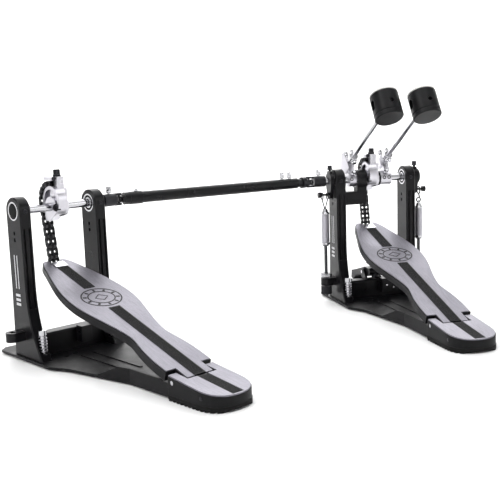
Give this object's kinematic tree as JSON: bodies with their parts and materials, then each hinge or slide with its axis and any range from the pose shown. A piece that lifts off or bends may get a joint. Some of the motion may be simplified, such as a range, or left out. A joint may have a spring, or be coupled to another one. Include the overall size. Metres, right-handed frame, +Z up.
{
  "type": "double bass drum pedal",
  "caption": "Double bass drum pedal: two chain-drive footboards, a telescoping drive shaft and two spring-returned beaters side by side.",
  "frame": {"origin": "on the floor under the heel end of the primary pedal, on its footboard's centre line, 8.8 mm behind the heel hinge pin", "axes": "+Z up, +Y from the heel towards the drum along the primary footboard, +X to the player's right along the primary axle"},
  "size_m": [0.6278, 0.4655, 0.3118],
  "materials": {
    "base_steel": "black textured powder coat",
    "post_cast": "satin black coated casting",
    "heel_black": "matt black moulding",
    "rubber": "ribbed black rubber",
    "board_black": "black coated casting",
    "tread_silver": "fine brushed satin",
    "grip": "grained grip strip",
    "chrome": "bright plated",
    "cam_silver": "polished casting",
    "chain_black": "black oxide",
    "shaft_black": "black satin",
    "coupling_dark": "dark grey satin",
    "spring_steel": "bright wire",
    "bearing_steel": "ground steel",
    "beater_black": "satin black",
    "felt": "cream felt",
    "screw_black": "black oxide screw"
  },
  "bodies": {
    "primary_frame": {"primary_base_plate": "base_steel", "primary_floor_pads": "rubber", "primary_posts": "post_cast", "primary_cross_bar": "post_cast", "primary_bearings": "bearing_steel", "primary_heel_block": "heel_black", "primary_heel_plate": "tread_silver", "primary_pins": "chrome", "centre_bearing_bracket": "post_cast"},
    "slave_frame": {"slave_base_plate": "base_steel", "slave_floor_pads": "rubber", "slave_posts": "post_cast", "slave_cross_bar": "post_cast", "slave_bearings": "bearing_steel", "slave_heel_block": "heel_black", "slave_heel_plate": "tread_silver", "slave_pins": "chrome"},
    "primary_footboard_body": {"primary_footboard": "board_black", "primary_tread_plate": "tread_silver", "primary_tread_grips": "grip", "primary_toe_clamp": "cam_silver"},
    "slave_footboard_body": {"slave_footboard": "board_black", "slave_tread_plate": "tread_silver", "slave_tread_grips": "grip", "slave_toe_clamp": "cam_silver"},
    "primary_axle_body": {"primary_axle": "chrome", "primary_cam": "cam_silver", "primary_chain_wrap": "chain_black", "right_beater_hub": "cam_silver", "right_beater_rod": "chrome", "right_beater_head": "beater_black", "right_beater_felt": "felt", "right_rocker": "post_cast"},
    "left_beater_body": {"left_beater_axle": "chrome", "left_coupling": "coupling_dark", "left_beater_hub": "cam_silver", "left_beater_rod": "chrome", "left_beater_head": "beater_black", "left_beater_felt": "felt", "left_rocker": "post_cast"},
    "slave_axle_body": {"slave_axle": "chrome", "slave_coupling": "coupling_dark", "slave_cam": "cam_silver", "slave_chain_wrap": "chain_black"},
    "primary_chain_body": {"primary_chain_drop": "chain_black"},
    "slave_chain_body": {"slave_chain_drop": "chain_black"},
    "left_spring_rod_body": {"left_spring_rod": "chrome", "left_spring_coil": "spring_steel"},
    "left_spring_hook_body": {"left_spring_hook": "spring_steel"},
    "right_spring_rod_body": {"right_spring_rod": "chrome", "right_spring_coil": "spring_steel"},
    "right_spring_hook_body": {"right_spring_hook": "screw_black"},
    "shaft_tube_body": {"shaft_tube": "coupling_dark"},
    "shaft_sleeve_body": {"shaft_sleeve": "shaft_black"},
    "primary_spur_body": {"primary_spurs": "chrome", "primary_spur_springs": "spring_steel"},
    "slave_spur_body": {"slave_spurs": "chrome", "slave_spur_springs": "spring_steel"},
    "hoop_jaw_body": {"hoop_jaw": "post_cast"},
    "clamp_screw_body": {"clamp_screw": "screw_black"}
  },
  "joints": [
    {"name": "primary_axle_turn", "type": "hinge", "parent": "primary_frame", "child": "primary_axle_body", "pos_m": [0, 0.261, 0.18], "axis": [-1, 0, 0], "range_deg": [0, 58], "stiffness_Nm_per_rad": 0.16, "springref_deg": -51.57},
    {"name": "slave_axle_turn", "type": "hinge", "parent": "slave_frame", "child": "slave_axle_body", "pos_m": [-0.46101, 0.14302, 0.18], "axis": [-0.8878, -0.4602, 0], "range_deg": [0, 58], "stiffness_Nm_per_rad": 0.16, "springref_deg": -51.57},
    {"name": "shaft_extension", "type": "slide", "parent": "primary_frame", "child": "slave_frame", "axis": [-0.9674, -0.2534, 0], "range_m": [-0.006, 0.06]},
    {"name": "left_beater_turn", "type": "hinge", "parent": "primary_frame", "child": "left_beater_body", "pos_m": [0, 0.261, 0.18], "axis": [-1, 0, 0], "range_deg": [0, 58]},
    {"name": "primary_footboard_press", "type": "hinge", "parent": "primary_frame", "child": "primary_footboard_body", "pos_m": [0, 0.0088, 0.0194], "axis": [-1, 0, 0], "range_deg": [0, 4.6]},
    {"name": "slave_footboard_press", "type": "hinge", "parent": "slave_frame", "child": "slave_footboard_body", "pos_m": [-0.34495, -0.08089, 0.0194], "axis": [-0.8878, -0.4602, 0], "range_deg": [0, 4.6]},
    {"name": "primary_chain_swing", "type": "hinge", "parent": "primary_axle_body", "child": "primary_chain_body", "pos_m": [0, 0.2827, 0.18297], "axis": [-1, 0, 0], "range_deg": [-69, 0]},
    {"name": "slave_chain_swing", "type": "hinge", "parent": "slave_axle_body", "child": "slave_chain_body", "pos_m": [-0.471, 0.16228, 0.18297], "axis": [-0.8878, -0.4602, 0], "range_deg": [-69, 0]},
    {"name": "left_spring_tilt", "type": "hinge", "parent": "primary_frame", "child": "left_spring_rod_body", "pos_m": [-0.068, 0.261, 0.032], "axis": [-1, 0, 0], "range_deg": [-8, 0]},
    {"name": "left_spring_stretch", "type": "slide", "parent": "left_spring_rod_body", "child": "left_spring_hook_body", "axis": [0, 0, 1], "range_m": [0, 0.011], "deforming": ["left_spring_coil"]},
    {"name": "right_spring_tilt", "type": "hinge", "parent": "primary_frame", "child": "right_spring_rod_body", "pos_m": [0.0822, 0.261, 0.032], "axis": [-1, 0, 0], "range_deg": [-8, 0]},
    {"name": "right_spring_stretch", "type": "slide", "parent": "right_spring_rod_body", "child": "right_spring_hook_body", "axis": [0, 0, 1], "range_m": [0, 0.011], "deforming": ["right_spring_coil"]},
    {"name": "shaft_tube_turn", "type": "hinge", "parent": "primary_frame", "child": "shaft_tube_body", "pos_m": [-0.0928, 0.261, 0.18], "axis": [-0.9674, -0.2534, 0], "range_deg": [0, 58]},
    {"name": "shaft_sleeve_turn", "type": "hinge", "parent": "slave_frame", "child": "shaft_sleeve_body", "pos_m": [-0.37702, 0.18655, 0.18], "axis": [-0.9674, -0.2534, 0], "range_deg": [0, 58]},
    {"name": "primary_spur_travel", "type": "slide", "parent": "primary_frame", "child": "primary_spur_body", "axis": [0, 0, 1], "range_m": [-0.003, 0.006], "deforming": ["primary_spur_springs"]},
    {"name": "slave_spur_travel", "type": "slide", "parent": "slave_frame", "child": "slave_spur_body", "axis": [0, 0, 1], "range_m": [-0.003, 0.006], "deforming": ["slave_spur_springs"]},
    {"name": "hoop_jaw_open", "type": "hinge", "parent": "primary_frame", "child": "hoop_jaw_body", "pos_m": [0.0035, 0.264, 0.0405], "axis": [1, 0, 0], "range_deg": [0, 12]},
    {"name": "clamp_screw_lift", "type": "slide", "parent": "hoop_jaw_body", "child": "clamp_screw_body", "axis": [0, 0, 1], "range_m": [0, 0.0035]}
  ],
  "couplings": [
    {"joint": "primary_footboard_press", "follows": "primary_axle_turn", "ratio": 0.07645},
    {"joint": "primary_chain_swing", "follows": "primary_axle_turn", "ratio": -1.1769},
    {"joint": "right_spring_tilt", "follows": "primary_axle_turn", "ratio": -0.129},
    {"joint": "right_spring_stretch", "follows": "primary_axle_turn", "m_per_rad": 0.01038},
    {"joint": "slave_footboard_press", "follows": "slave_axle_turn", "ratio": 0.07645},
    {"joint": "slave_chain_swing", "follows": "slave_axle_turn", "ratio": -1.1769},
    {"joint": "left_spring_tilt", "follows": "slave_axle_turn", "ratio": -0.129},
    {"joint": "left_spring_stretch", "follows": "slave_axle_turn", "m_per_rad": 0.01038},
    {"joint": "left_beater_turn", "follows": "slave_axle_turn", "ratio": 1},
    {"joint": "shaft_tube_turn", "follows": "slave_axle_turn", "ratio": 1},
    {"joint": "shaft_sleeve_turn", "follows": "slave_axle_turn", "ratio": 1},
    {"joint": "clamp_screw_lift", "follows": "hoop_jaw_open", "m_per_rad": 0.015}
  ]
}
